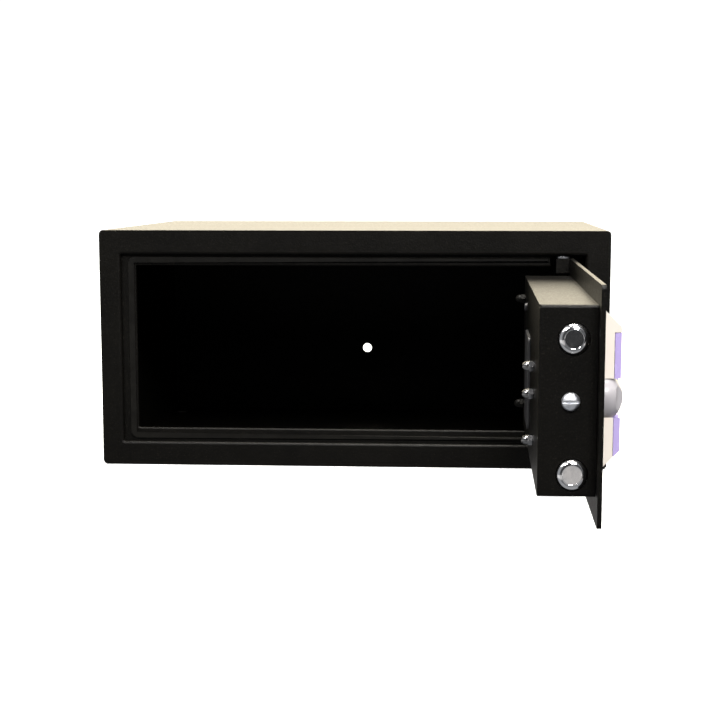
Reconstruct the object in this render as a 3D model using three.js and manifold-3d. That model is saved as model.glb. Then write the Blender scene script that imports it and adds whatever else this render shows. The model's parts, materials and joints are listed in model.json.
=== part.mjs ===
// In-room hotel safe for a laptop: a folded steel cabinet with a recessed door frame, and a door
// on pin hinges that stands open at a right angle. The door carries the lock case with two round
// bolts, the turn knob, the keypad panel, the emergency key lock and the battery box.
// Millimetres, +Z up. The origin is the centre of the cabinet's underside and the front faces -Y.

import * as THREE from 'three';
import Module from 'manifold-3d';
import { mergeVertices } from 'three/addons/utils/BufferGeometryUtils.js';

const wasm = await Module();
wasm.setup();

// ---- driving dimensions -------------------------------------------------------------------

const GAP = 0.3;                  // air between pieces that touch
const SHEET = 2;                  // cabinet steel
const CASE_SHEET = 1.5;           // lock case steel

const CABINET = { width: 430, depth: 350, height: 200 };
const BAND = { left: 18, right: 20.5, top: 20.5, bottom: 20 };    // front border
const LIP = { side: 12.5, top: 9.5, bottom: 11.5, setback: 5 };       // stop behind the door's rim
const SEAL = { left: 6, bottom: 2.6, top: 2.1, end: 164, width: 3.6, height: 1.4 };   // buffer strip
const POCKET = { depth: 28, edge: 170, lipEnd: 165 };               // room for the hinge edge
const ANCHOR = { radius: 5, x: 203, rearY: 145, frontY: -130, wallX: -10, wallZ: 68 };

const HINGE = { x: 176, setback: 8.5, pinRadius: 2.5, holeRadius: 2.8 };
const OPEN_ANGLE = Math.PI / 2;   // the door stands square to the cabinet's front

// In the door's own frame x runs along the door from the hinge axis (the lock edge is at -x),
// y runs from the front of the closed door into the cabinet, and z is the cabinet's z.
const PLATE = { x0: -370, x1: 15.5, y0: -8.5, y1: -5.5, z0: 22.5, z1: 177, corner: 3 };
const RIBBON_SLOT = { x0: -237, x1: -213, z0: 86, z1: 91 };
const CASE = { x0: -355, x1: -18, y0: PLATE.y1 + GAP, y1: 32, z0: 40.5, z1: 163.5 };

const BOLT = { radius: 10, flat: 6, chamfer: 3, length: 57.5, proud: 3.4, play: 0.4, y: 10 };
const BOLT_SCREW = { headRadius: 5, headEnd: 4, shankRadius: 2.6, holeRadius: 3 };
const BOLT_HEIGHTS = { upper_bolt: 142, lower_bolt: 55 };
const BOLT_THROW = 16;
const BAR = { thickness: 3, y0: 4, y1: 20, waist: 9, z0: 44, z1: 153, pad: 10 };

const KNOB = { x: -322, z: 101.5, radius: 15, back: PLATE.y0 - GAP, front: -24, spindle: 3 };
const CRANK_ANGLE = Math.PI / 4;  // each side of upright
const CRANK_RADIUS = BOLT_THROW / 2 / Math.sin(CRANK_ANGLE);
const CRANK = { disc: 14.5, y0: 0.5, y1: 3.2, pinRadius: 2, pinEnd: 9.5 };
const YOKE = { x0: -320, y0: 5, y1: 7.5, z0: 82.5, z1: 120.5, slotWidth: 5.4, slotZ0: 106.5, slotZ1: 116 };

const SOLENOID = { x: -309, z: 76.5, radius: 8, y0: 14, boreRadius: 2.9, boreEnd: 26 };
const PLUNGER = { radius: 2.5, y0: 12, y1: 24.5 };
const GUIDE = { x0: -353.2, thickness: 3, y0: -1.5, y1: 24, z0: 43, z1: 161 };
const GUIDE_SCREW = { y: 11.5, z: 102, headRadius: 6, headHeight: 4, radius: 2.8, reach: 12 };

const STUD = { radius: 2, end: 36.5 };
const NUT = { radius: 4.1, hexagon: 3.6, boreDepth: 4.8,
  dome: [[0, 0], [3.4, 0], [3.3, 1.3], [2.8, 2.6], [1.9, 3.6], [0.9, 4.2], [0, 4.4]] };
const STUDS = [
  { x: -270, z: 115.5, finish: 'chrome' },
  { x: -270, z: 96.5, finish: 'chrome' },
  { x: -270, z: 64.5, finish: 'chrome' },
  { x: -40, z: 146, finish: 'black_coat' },
  { x: -40, z: 60, finish: 'black_coat' },
];

const PANEL = { x0: -331, x1: -141, z0: 55.5, z1: 159, back: PLATE.y0 - GAP, split: -17.55, front: -21.9 };
const PANEL_HOOD = 144;           // above this the housing reaches right to the front
const PANEL_EDGE = 1.7;           // upright part of the panel's side before it slopes
const PANEL_WALL = 2.5;
const PANEL_ROOM = { end: 28, rim: 9 };   // solid margins round the panel's hollow
const KEY = { width: 14, height: 12, corner: 2.5, y0: -23.9, y1: -14.1, slack: 0.4 };
const KEY_COLUMNS = [-202, -183, -164];
const KEY_ROWS = [135, 117, 99, 81];
const KEY_NAMES = [
  ['key_1', 'key_2', 'key_3'],
  ['key_4', 'key_5', 'key_6'],
  ['key_7', 'key_8', 'key_9'],
  ['key_clear', 'key_0', 'key_lock'],
];
const DISPLAY = { x0: -292, x1: -222, z0: 112, z1: 140, thickness: 2, ledge: 2 };
const BOARD = { x0: -297, x1: -150, y0: -12.1, y1: -10.5, z0: 70, z1: 146 };

const LOCK = { x: -282, z: 85, radius: 9.4, y0: -21.4, y1: 8, plugRadius: 5.2, bore: 5.5 };
const COVER = { radius: 12, ear: 5, pivotZ: 101, y0: -24, y1: -22.2 };

const BATTERY = { radius: 7.1, length: 50.5, nubRadius: 2.6, nub: 1.2, pitch: 15,
  x: -181.5, y: 22.6, z: 71.5 };
const HOLDER = { x0: -187, x1: -125, y0: 14, z0: 62, z1: 126, wall: 1.2 };
const BATTERY_DOOR = { x0: -190, x1: -122, z0: 60, z1: 128, thickness: 1.8, corner: 4 };
const LID_RIBS = { count: 4, first: 8, pitch: 4, width: 1.4, height: 0.6, margin: 20 };
const RESET = { x: -90, z: 143, radius: 3.2, y0: 26, y1: 34.2 };
const MAIN_BOARD = { x0: -246, x1: -196, y0: 4, y1: 5.6, z0: 62, z1: 150 };
const BOARD_PARTS = [                   // processor, relay and plug socket on the main board
  { x0: -232, x1: -216, z0: 100, z1: 116, height: 2 },
  { x0: -226, x1: -206, z0: 124, z1: 140, height: 12 },
  { x0: -240, x1: -220, z0: 68, z1: 76, height: 7 },
];
const RIBBON = { x0: -235, x1: -215, z0: 88, z1: 89 };
const LUG = { halfLength: 7, y1: 6, height: 12, pinDepth: 11 };
const WASHER = { radius: 6, thickness: 1.2 };
const PIN_TIP = 188;

// ---- finishes -----------------------------------------------------------------------------

const FINISHES = {
  black_coat: [0x15140f, 0.55, 0.3],
  chrome: [0xd6d8da, 0.12, 1],
  steel: [0x8d9196, 0.35, 1],
  cream_plastic: [0xe6ddcd, 0.45, 0],
  lavender_plastic: [0xb3a2e0, 0.3, 0],
  grey_plastic: [0xb2aeb0, 0.35, 0.1],
  dark_plastic: [0x202124, 0.5, 0],
  display_glass: [0x1c2a26, 0.08, 0],
  circuit_board: [0x1f5a37, 0.5, 0],
  ribbon: [0x9b9ea2, 0.6, 0],
  battery_wrap: [0x3b4f7a, 0.35, 0.2],
  brass: [0xb08d4a, 0.3, 1],
  rubber: [0x1d1b19, 0.8, 0],
};

function material(finish) {
  const [color, roughness, metalness] = FINISHES[finish];
  return new THREE.MeshStandardMaterial({ color, roughness, metalness });
}

function piece(name, finish, geometry) {
  const mesh = new THREE.Mesh(geometry, material(finish));
  mesh.name = name;
  return mesh;
}

// ---- solids -------------------------------------------------------------------------------

function toSolid(geometry) {
  const bare = geometry.clone();
  bare.deleteAttribute('normal');
  bare.deleteAttribute('uv');
  const merged = mergeVertices(bare, 1e-4);
  const mesh = new wasm.Mesh({
    numProp: 3,
    vertProperties: new Float32Array(merged.attributes.position.array),
    triVerts: new Uint32Array(merged.index.array),
  });
  return new wasm.Manifold(mesh);
}

function toGeometry(solid) {
  const mesh = solid.getMesh();
  const geometry = new THREE.BufferGeometry();
  geometry.setAttribute('position', new THREE.BufferAttribute(mesh.vertProperties, 3));
  geometry.setIndex(new THREE.BufferAttribute(mesh.triVerts, 1));
  geometry.computeVertexNormals();
  return geometry;
}

function join(...geometries) {
  return toGeometry(geometries.map(toSolid).reduce((whole, next) => whole.add(next)));
}

function cut(geometry, ...tools) {
  return toGeometry(tools.map(toSolid).reduce((rest, tool) => rest.subtract(tool), toSolid(geometry)));
}

function block(x0, x1, y0, y1, z0, z1) {
  const geometry = new THREE.BoxGeometry(x1 - x0, y1 - y0, z1 - z0);
  return geometry.translate((x0 + x1) / 2, (y0 + y1) / 2, (z0 + z1) / 2);
}

function rodX(y, z, radius, x0, x1, sides = 24) {
  const geometry = new THREE.CylinderGeometry(radius, radius, x1 - x0, sides);
  return geometry.rotateZ(Math.PI / 2).translate((x0 + x1) / 2, y, z);
}

function rodY(x, z, radius, y0, y1, sides = 24) {
  const geometry = new THREE.CylinderGeometry(radius, radius, y1 - y0, sides);
  return geometry.translate(x, (y0 + y1) / 2, z);
}

function rodZ(x, y, radius, z0, z1, sides = 24) {
  const geometry = new THREE.CylinderGeometry(radius, radius, z1 - z0, sides);
  return geometry.rotateX(Math.PI / 2).translate(x, y, (z0 + z1) / 2);
}

// A turned solid along +Y from [radius, height] pairs that start and end on the axis.
function turned(profile, sides) {
  return new THREE.LatheGeometry(profile.map(([radius, height]) => new THREE.Vector2(radius, height)), sides);
}

function roundedRectangle(x0, x1, z0, z1, radius) {
  const shape = new THREE.Shape();
  shape.moveTo(x0 + radius, z0);
  shape.lineTo(x1 - radius, z0);
  shape.absarc(x1 - radius, z0 + radius, radius, -Math.PI / 2, 0);
  shape.lineTo(x1, z1 - radius);
  shape.absarc(x1 - radius, z1 - radius, radius, 0, Math.PI / 2);
  shape.lineTo(x0 + radius, z1);
  shape.absarc(x0 + radius, z1 - radius, radius, Math.PI / 2, Math.PI);
  shape.lineTo(x0, z0 + radius);
  shape.absarc(x0 + radius, z0 + radius, radius, Math.PI, 1.5 * Math.PI);
  return shape;
}

// A plate in the x-z plane with rounded corners, from y0 to y1.
function roundedPlate(x0, x1, y0, y1, z0, z1, radius) {
  const shape = roundedRectangle(x0, x1, z0, z1, radius);
  const settings = { depth: y1 - y0, bevelEnabled: false, curveSegments: 3 };
  const geometry = new THREE.ExtrudeGeometry(shape, settings);
  return geometry.rotateX(Math.PI / 2).translate(0, y1, 0);
}

// ---- cabinet ------------------------------------------------------------------------------

const HALF_W = CABINET.width / 2;
const FRONT_Y = -CABINET.depth / 2;
const REAR_Y = CABINET.depth / 2;
const RECESS = {
  x0: BAND.left - HALF_W,
  x1: HALF_W - BAND.right,
  z0: BAND.bottom,
  z1: CABINET.height - BAND.top,
};
const HINGE_Y = FRONT_Y + HINGE.setback;
const LIP_FRONT = FRONT_Y + LIP.setback;
const LIP_REAR = LIP_FRONT + SHEET;

function cabinetShell() {
  const y0 = FRONT_Y + SHEET + GAP;
  const y1 = REAR_Y - SHEET - GAP;
  const outer = block(-HALF_W, HALF_W, y0, y1, 0, CABINET.height);
  const inner = block(SHEET - HALF_W, HALF_W - SHEET, y0 - 1, y1 + 1, SHEET, CABINET.height - SHEET);
  const holes = [];
  for (const x of [-ANCHOR.x, ANCHOR.x]) {
    for (const y of [ANCHOR.frontY, ANCHOR.rearY]) {
      holes.push(rodZ(x, y, ANCHOR.radius, -1, SHEET + 1));
    }
  }
  return cut(outer, inner, ...holes);
}

function backPanel() {
  const plate = block(-HALF_W, HALF_W, REAR_Y - SHEET, REAR_Y, 0, CABINET.height);
  const hole = rodY(ANCHOR.wallX, ANCHOR.wallZ, ANCHOR.radius, REAR_Y - SHEET - 1, REAR_Y + 1);
  return cut(plate, hole);
}

// The front border, the walls that turn in round the door, the lip behind it on three sides,
// and the deeper pocket on the hinge side that the door's hinge edge swings into.
function frontFrame() {
  const { x0, x1, z0, z1 } = RECESS;
  const ahead = FRONT_Y - 1;
  const pocketRear = FRONT_Y + POCKET.depth + SHEET;
  const band = block(-HALF_W, HALF_W, FRONT_Y, FRONT_Y + SHEET, 0, CABINET.height);
  const rim = block(x0 - SHEET, x1 + SHEET, FRONT_Y, LIP_REAR, z0 - SHEET, z1 + SHEET);
  const pocket = block(POCKET.lipEnd, x1 + SHEET, FRONT_Y, pocketRear, z0 - SHEET, z1 + SHEET);
  const recess = block(x0, x1, ahead, LIP_FRONT, z0, z1);
  const mouth = block(x0 + LIP.side, POCKET.edge, ahead, pocketRear + 1, z0 + LIP.bottom, z1 - LIP.top);
  const pocketRoom = block(POCKET.lipEnd, x1, ahead, FRONT_Y + POCKET.depth, z0, z1);
  const pocketSide = block(POCKET.lipEnd - 1, POCKET.edge, LIP_REAR, pocketRear + 1, z0, z1);
  const pinHole = rodZ(HINGE.x, HINGE_Y, HINGE.holeRadius + GAP, 1, CABINET.height - 1);
  return cut(join(band, rim, pocket), recess, mouth, pocketRoom, pocketSide, pinHole);
}

// The rubber strip on the stop's three free sides, open towards the hinge.
function doorSeal() {
  const y0 = LIP_FRONT - GAP - SEAL.height;
  const y1 = LIP_FRONT - GAP;
  const [x0, z0, z1] = [RECESS.x0 + SEAL.left, RECESS.z0 + SEAL.bottom, RECESS.z1 - SEAL.top];
  const { width, end } = SEAL;
  const outer = block(x0, end, y0, y1, z0, z1);
  return cut(outer, block(x0 + width, end + 1, y0 - 1, y1 + 1, z0 + width, z1 - width));
}

function hingeBracket(z0) {
  const z1 = z0 + 2 * SHEET;
  const plate = block(POCKET.lipEnd, RECESS.x1, FRONT_Y + SHEET + GAP, FRONT_Y + POCKET.depth, z0, z1);
  return cut(plate, rodZ(HINGE.x, HINGE_Y, HINGE.holeRadius, z0 - 1, z1 + 1));
}

function cabinet() {
  const group = new THREE.Group();
  const upperBracket = RECESS.z1 + SHEET + GAP;
  const lowerBracket = RECESS.z0 - SHEET - GAP - 2 * SHEET;
  group.add(piece('cabinet_shell', 'black_coat', cabinetShell()));
  group.add(piece('front_frame', 'black_coat', frontFrame()));
  group.add(piece('back_panel', 'black_coat', backPanel()));
  group.add(piece('door_seal', 'rubber', doorSeal()));
  group.add(piece('hinge_bracket_upper', 'steel', hingeBracket(upperBracket)));
  group.add(piece('hinge_bracket_lower', 'steel', hingeBracket(lowerBracket)));
  return group;
}

// ---- door leaf and hinge ------------------------------------------------------------------

// The front plate with the welded studs that hold the lock case.
function doorPlate() {
  const plate = roundedPlate(PLATE.x0, PLATE.x1, PLATE.y0, PLATE.y1, PLATE.z0, PLATE.z1, PLATE.corner);
  const studs = STUDS.map(({ x, z }) => rodY(x, z, STUD.radius, PLATE.y1 - 1, STUD.end, 16));
  const through = [PLATE.y0 - 1, PLATE.y1 + 1];
  return cut(join(plate, ...studs),
    rodY(KNOB.x, KNOB.z, KNOB.spindle + 1, ...through),
    rodY(LOCK.x, LOCK.z, LOCK.radius + 0.6, ...through),
    block(RIBBON_SLOT.x0, RIBBON_SLOT.x1, ...through, RIBBON_SLOT.z0, RIBBON_SLOT.z1));
}

function boltHoles(x0, x1) {
  return Object.values(BOLT_HEIGHTS).map((z) => rodX(BOLT.y, z, BOLT.radius + BOLT.play, x0, x1, 40));
}

// The tray that covers the works, open towards the plate.
function lockCase() {
  const outer = block(CASE.x0, CASE.x1, CASE.y0, CASE.y1, CASE.z0, CASE.z1);
  const room = block(CASE.x0 + CASE_SHEET, CASE.x1 - CASE_SHEET, CASE.y0 - 1, CASE.y1 - CASE_SHEET,
    CASE.z0 + CASE_SHEET, CASE.z1 - CASE_SHEET);
  const lockSide = [CASE.x0 - 1, CASE.x0 + CASE_SHEET + 1];
  const rearSide = [CASE.y1 - CASE_SHEET - 1, CASE.y1 + 1];
  const holes = boltHoles(...lockSide);
  holes.push(rodX(GUIDE_SCREW.y, GUIDE_SCREW.z, GUIDE_SCREW.radius + GAP, ...lockSide));
  holes.push(...STUDS.map(({ x, z }) => rodY(x, z, STUD.radius + GAP, ...rearSide, 16)));
  holes.push(rodY(RESET.x, RESET.z, RESET.radius + GAP, ...rearSide));
  holes.push(block(HOLDER.x0 + 3, HOLDER.x1 - 3, ...rearSide, HOLDER.z0 + 2, HOLDER.z1 - 2));
  return cut(outer, room, ...holes);
}

function capNut({ x, z }) {
  const y0 = CASE.y1 + GAP;
  const hexagon = rodY(x, z, NUT.radius, y0, y0 + NUT.hexagon, 6);
  const dome = turned(NUT.dome, 16);
  dome.translate(x, y0 + NUT.hexagon - 0.01, z);
  const bore = rodY(x, z, STUD.radius + GAP, y0 - 1, y0 + NUT.boreDepth, 16);
  return cut(join(hexagon, dome), bore);
}

function hingeLug(z0) {
  const body = block(-LUG.halfLength, LUG.halfLength, PLATE.y1 + GAP, LUG.y1, z0, z0 + LUG.height);
  return cut(body, rodZ(0, 0, HINGE.holeRadius, z0 - 1, z0 + LUG.height + 1));
}

function hingeWasher(z0) {
  const disc = rodZ(0, 0, WASHER.radius, z0, z0 + WASHER.thickness);
  return cut(disc, rodZ(0, 0, HINGE.holeRadius, z0 - 1, z0 + WASHER.thickness + 1));
}

function hingePin(z0, z1) {
  return rodZ(0, 0, HINGE.pinRadius, z0, z1);
}

function doorLeaf() {
  const group = new THREE.Group();
  const top = PLATE.z1;
  const bottom = PLATE.z0;
  group.add(piece('door_plate', 'black_coat', doorPlate()));
  group.add(piece('lock_case', 'black_coat', lockCase()));
  STUDS.forEach((stud, index) => {
    group.add(piece(`cap_nut_${index + 1}`, stud.finish, capNut(stud)));
  });
  group.add(piece('hinge_lug_upper', 'black_coat', hingeLug(top - LUG.height)));
  group.add(piece('hinge_lug_lower', 'black_coat', hingeLug(bottom)));
  group.add(piece('hinge_pin_upper', 'steel', hingePin(top - LUG.pinDepth, PIN_TIP)));
  group.add(piece('hinge_pin_lower', 'steel', hingePin(CABINET.height - PIN_TIP, bottom + LUG.pinDepth)));
  group.add(piece('hinge_washer_upper', 'steel', hingeWasher(top + GAP)));
  group.add(piece('hinge_washer_lower', 'steel', hingeWasher(bottom - GAP - WASHER.thickness)));
  return group;
}

// ---- bolt work ----------------------------------------------------------------------------

function bolt(z) {
  const profile = [[0, 0], [BOLT.radius, 0], [BOLT.radius, BOLT.length - BOLT.chamfer],
    [BOLT.flat, BOLT.length], [0, BOLT.length]];
  const tail = CASE.x0 - BOLT.proud + BOLT.length;
  return turned(profile, 40).rotateZ(Math.PI / 2).translate(tail, BOLT.y, z);
}

// The bar behind the bolts, with the slotted yoke that the crank pin moves.
function boltBar() {
  const x0 = CASE.x0 - BOLT.proud + BOLT.length + GAP;
  const x1 = x0 + BAR.thickness;
  const spine = block(x0, x1, BAR.y0, BAR.waist, BAR.z0, BAR.z1);
  const heights = Object.values(BOLT_HEIGHTS);
  const pads = heights.map((z) => block(x0, x1, BAR.y0, BAR.y1, z - BAR.pad, z + BAR.pad));
  const yoke = block(YOKE.x0, x1, YOKE.y0, YOKE.y1, YOKE.z0, YOKE.z1);
  const slotX = KNOB.x + CRANK_RADIUS * Math.sin(CRANK_ANGLE);
  const slot = block(slotX - YOKE.slotWidth / 2, slotX + YOKE.slotWidth / 2, YOKE.y0 - 1, YOKE.y1 + 1,
    YOKE.slotZ0, YOKE.slotZ1);
  const holes = heights.map((z) => rodX(BOLT.y, z, BOLT_SCREW.holeRadius, x0 - 1, x1 + 1, 16));
  return cut(join(spine, ...pads, yoke), slot, ...holes);
}

function boltScrew(z) {
  const x0 = CASE.x0 - BOLT.proud + BOLT.length + GAP;
  const barEnd = x0 + BAR.thickness;
  const head = rodX(BOLT.y, z, BOLT_SCREW.headRadius, barEnd + GAP, barEnd + BOLT_SCREW.headEnd, 20);
  const shank = rodX(BOLT.y, z, BOLT_SCREW.shankRadius, x0, barEnd + 1, 16);
  return join(head, shank);
}

function boltGuide() {
  const x1 = GUIDE.x0 + GUIDE.thickness;
  const plate = block(GUIDE.x0, x1, GUIDE.y0, GUIDE.y1, GUIDE.z0, GUIDE.z1);
  const holes = boltHoles(GUIDE.x0 - 1, x1 + 1);
  const screwHole = rodX(GUIDE_SCREW.y, GUIDE_SCREW.z, GUIDE_SCREW.radius + GAP, GUIDE.x0 - 1, x1 + 1);
  return cut(plate, ...holes, screwHole);
}

// The pan-head screw on the lock edge that holds the bolt guide.
function guideScrew() {
  const { radius, headRadius, headHeight, reach, y, z } = GUIDE_SCREW;
  const tip = reach + headHeight;
  const profile = [[0, 0], [radius, 0], [radius, reach], [headRadius, reach],
    [headRadius, reach + headHeight * 0.45], [headRadius * 0.85, reach + headHeight * 0.8],
    [headRadius * 0.45, tip], [0, tip]];
  const screw = turned(profile, 28).rotateZ(Math.PI / 2).translate(CASE.x0 - GAP + reach, y, z);
  const slotX0 = CASE.x0 - GAP - headHeight - 1;
  const slot = block(slotX0, slotX0 + 2.6, y - headRadius, y + headRadius, z - 0.8, z + 0.8);
  return cut(screw, slot);
}

function boltCarriage() {
  const group = new THREE.Group();
  for (const [name, z] of Object.entries(BOLT_HEIGHTS)) {
    group.add(piece(name, 'chrome', bolt(z)));
    group.add(piece(`${name}_screw`, 'steel', boltScrew(z)));
  }
  group.add(piece('bolt_bar', 'steel', boltBar()));
  return group;
}

function knobBody() {
  const height = KNOB.back - KNOB.front;
  const profile = [[0, 0], [KNOB.radius, 0], [KNOB.radius, height - 4], [KNOB.radius - 0.6, height - 2.2],
    [KNOB.radius - 2, height - 0.8], [KNOB.radius - 4.5, height], [0, height]];
  const body = turned(profile, 40).rotateX(Math.PI).translate(KNOB.x, KNOB.back, KNOB.z);
  return cut(body, rodY(KNOB.x, KNOB.z, KNOB.spindle + GAP, KNOB.back - 8.4, KNOB.back + 1));
}

// The knob's spindle with its crank disc and pin inside the lock case.
function knobSpindle() {
  const spindle = rodY(KNOB.x, KNOB.z, KNOB.spindle, KNOB.back - 8, CRANK.y1);
  const disc = rodY(KNOB.x, KNOB.z, CRANK.disc, CRANK.y0, CRANK.y1, 36);
  const pinX = KNOB.x + CRANK_RADIUS * Math.sin(CRANK_ANGLE);
  const pinZ = KNOB.z + CRANK_RADIUS * Math.cos(CRANK_ANGLE);
  const pin = rodY(pinX, pinZ, CRANK.pinRadius, CRANK.y1 - 1, CRANK.pinEnd, 20);
  return join(spindle, disc, pin);
}

function turnKnob() {
  const group = new THREE.Group();
  group.add(piece('turn_knob', 'grey_plastic', knobBody()));
  group.add(piece('knob_spindle', 'steel', knobSpindle()));
  return group;
}

function solenoid() {
  const end = CASE.y1 - CASE_SHEET - GAP;
  const body = rodY(SOLENOID.x, SOLENOID.z, SOLENOID.radius, SOLENOID.y0, end, 28);
  const bore = rodY(SOLENOID.x, SOLENOID.z, SOLENOID.boreRadius, SOLENOID.y0 - 1, SOLENOID.boreEnd);
  return cut(body, bore);
}

function lockWorks() {
  const group = new THREE.Group();
  const plunger = rodY(SOLENOID.x, SOLENOID.z, PLUNGER.radius, PLUNGER.y0, PLUNGER.y1);
  group.add(piece('bolt_guide', 'steel', boltGuide()));
  group.add(piece('guide_screw', 'chrome', guideScrew()));
  group.add(piece('solenoid_body', 'steel', solenoid()));
  group.add(piece('solenoid_plunger', 'brass', plunger));
  return group;
}

// ---- keypad panel -------------------------------------------------------------------------

// A slab of the panel's bevelled outline between two depths, along the whole panel.
function panelSlab(y0, y1) {
  const straight = PANEL.back - PANEL_EDGE;
  const slope = (y) => Math.max(0, straight - y);
  const outline = new THREE.Shape();
  const levels = y0 > straight ? [y0, straight, y1] : [y0, y1];
  levels.forEach((y, index) => {
    const z = PANEL.z0 + slope(y);
    if (index === 0) outline.moveTo(y, z);
    else outline.lineTo(y, z);
  });
  [...levels].reverse().forEach((y) => outline.lineTo(y, PANEL.z1 - slope(y)));
  const length = PANEL.x1 - PANEL.x0;
  const geometry = new THREE.ExtrudeGeometry(outline, { depth: length, bevelEnabled: false });
  // the outline's own axes are (y, z): turn them upright and lay the length along x
  geometry.applyMatrix4(new THREE.Matrix4().set(0, 0, 1, PANEL.x0, 1, 0, 0, 0, 0, 1, 0, 0, 0, 0, 0, 1));
  return geometry;
}

function eachKey(make) {
  return KEY_ROWS.flatMap((z, row) => KEY_COLUMNS.map((x, column) => make(x, z, KEY_NAMES[row][column])));
}

function panelOpenings() {
  const through = [PANEL.front - 1, PANEL.back + 1];
  const halfW = KEY.width / 2 + KEY.slack;
  const halfH = KEY.height / 2 + KEY.slack;
  const keys = eachKey((x, z) => block(x - halfW, x + halfW, ...through, z - halfH, z + halfH));
  const knob = rodY(KNOB.x, KNOB.z, KNOB.radius + 0.6, ...through, 48);
  const lock = rodY(LOCK.x, LOCK.z, LOCK.radius + GAP, ...through, 28);
  const pivot = rodY(LOCK.x, COVER.pivotZ, 1.8, ...through, 16);
  return [...keys, knob, lock, pivot];
}

// A block over the display, drawn in by the given margin.
function displayBlock(margin, y0, y1) {
  return block(DISPLAY.x0 + margin, DISPLAY.x1 - margin, y0, y1,
    DISPLAY.z0 + margin, DISPLAY.z1 - margin);
}

// Everything of the panel's width above or below the hood's lower edge.
function besideHood(z0, z1) {
  return block(PANEL.x0 - 1, PANEL.x1 + 1, PANEL.front - 1, PANEL.back + 1, z0, z1);
}

function panelHousing() {
  const hood = cut(panelSlab(PANEL.split + 1, PANEL.front), besideHood(0, PANEL_HOOD + GAP / 2));
  const room = block(PANEL.x0 + PANEL_ROOM.end, PANEL.x1 - PANEL_WALL, PANEL.split + PANEL_WALL,
    PANEL.back + 1, PANEL.z0 + PANEL_ROOM.rim, PANEL.z1 - PANEL_ROOM.rim);
  const window = displayBlock(DISPLAY.ledge, PANEL.split - 1, PANEL.back + 1);
  return cut(join(panelSlab(PANEL.back, PANEL.split + GAP / 2), hood), room, window, ...panelOpenings());
}

function panelFront() {
  const seat = displayBlock(0, PANEL.front - 1, PANEL.front + DISPLAY.thickness);
  const window = displayBlock(DISPLAY.ledge, PANEL.front - 1, PANEL.split + 1);
  const slab = panelSlab(PANEL.split - GAP / 2, PANEL.front);
  const above = besideHood(PANEL_HOOD - GAP / 2, CABINET.height);
  return cut(slab, above, seat, window, ...panelOpenings());
}

function displayWindow() {
  return displayBlock(GAP, PANEL.front, PANEL.front + DISPLAY.thickness - GAP);
}

function displayModule() {
  return displayBlock(DISPLAY.ledge + 1, PANEL.front + DISPLAY.thickness + GAP, BOARD.y0 - GAP);
}

function keypadBoard() {
  const board = block(BOARD.x0, BOARD.x1, BOARD.y0, BOARD.y1, BOARD.z0, BOARD.z1);
  return cut(board, rodY(LOCK.x, LOCK.z, LOCK.radius + 0.6, BOARD.y0 - 1, BOARD.y1 + 1, 28),
    rodY(LOCK.x, COVER.pivotZ, 2.4, BOARD.y0 - 1, BOARD.y1 + 1, 16));
}

function keyCap(x, z) {
  const halfW = KEY.width / 2;
  const halfH = KEY.height / 2;
  return roundedPlate(x - halfW, x + halfW, KEY.y0, KEY.y1, z - halfH, z + halfH, KEY.corner);
}

function lockBarrel() {
  const barrel = rodY(LOCK.x, LOCK.z, LOCK.radius, LOCK.y0, LOCK.y1, 28);
  return cut(barrel, rodY(LOCK.x, LOCK.z, LOCK.bore, LOCK.y0 - 1, LOCK.y1 + 1, 28));
}

// The turning plug with its keyway and the cam on its tail.
function lockPlug() {
  const plug = rodY(LOCK.x, LOCK.z, LOCK.plugRadius, LOCK.y0 + GAP, LOCK.y1 + 2.3, 28);
  const cam = block(LOCK.x - 3.5, LOCK.x + 3.5, LOCK.y1 + GAP, LOCK.y1 + 2.3, LOCK.z - 4, LOCK.z + 8.5);
  const keyway = block(LOCK.x - 0.9, LOCK.x + 0.9, LOCK.y0 - 1, LOCK.y0 + 12, LOCK.z - 3.6, LOCK.z + 3.6);
  return cut(join(plug, cam), keyway);
}

function keyholeCover() {
  const disc = rodY(LOCK.x, LOCK.z, COVER.radius, COVER.y0, COVER.y1, 32);
  const neck = block(LOCK.x - COVER.ear, LOCK.x + COVER.ear, COVER.y0, COVER.y1, LOCK.z, COVER.pivotZ);
  const ear = rodY(LOCK.x, COVER.pivotZ, COVER.ear, COVER.y0, COVER.y1);
  return cut(join(disc, neck, ear), rodY(LOCK.x, COVER.pivotZ, 1.8, COVER.y0 - 1, COVER.y1 + 1, 16));
}

function coverScrew() {
  const head = rodY(LOCK.x, COVER.pivotZ, 3.2, COVER.y0 - GAP - 1.4, COVER.y0 - GAP, 20);
  const shank = rodY(LOCK.x, COVER.pivotZ, 1.5, COVER.y0 - GAP - 1, PANEL.split + PANEL_WALL + 1, 16);
  return join(head, shank);
}

function keypadPanel() {
  const group = new THREE.Group();
  group.add(piece('panel_housing', 'cream_plastic', panelHousing()));
  group.add(piece('panel_front', 'lavender_plastic', panelFront()));
  group.add(piece('display_window', 'display_glass', displayWindow()));
  group.add(piece('display_module', 'dark_plastic', displayModule()));
  group.add(piece('keypad_board', 'circuit_board', keypadBoard()));
  eachKey((x, z, name) => group.add(piece(name, 'grey_plastic', keyCap(x, z))));
  group.add(piece('lock_barrel', 'steel', lockBarrel()));
  group.add(piece('lock_plug', 'brass', lockPlug()));
  group.add(piece('keyhole_cover', 'grey_plastic', keyholeCover()));
  group.add(piece('cover_screw', 'chrome', coverScrew()));
  return group;
}

// ---- electronics and battery box ----------------------------------------------------------

function mainBoard() {
  const { x0, x1, y0, y1, z0, z1 } = MAIN_BOARD;
  const parts = BOARD_PARTS.map((part) => (
    block(part.x0, part.x1, y1 - 0.5, y1 + part.height, part.z0, part.z1)));
  return join(block(x0, x1, y0, y1, z0, z1), ...parts);
}

function keypadRibbon() {
  return block(RIBBON.x0, RIBBON.x1, BOARD.y1 + GAP, MAIN_BOARD.y0 - GAP, RIBBON.z0, RIBBON.z1);
}

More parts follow.
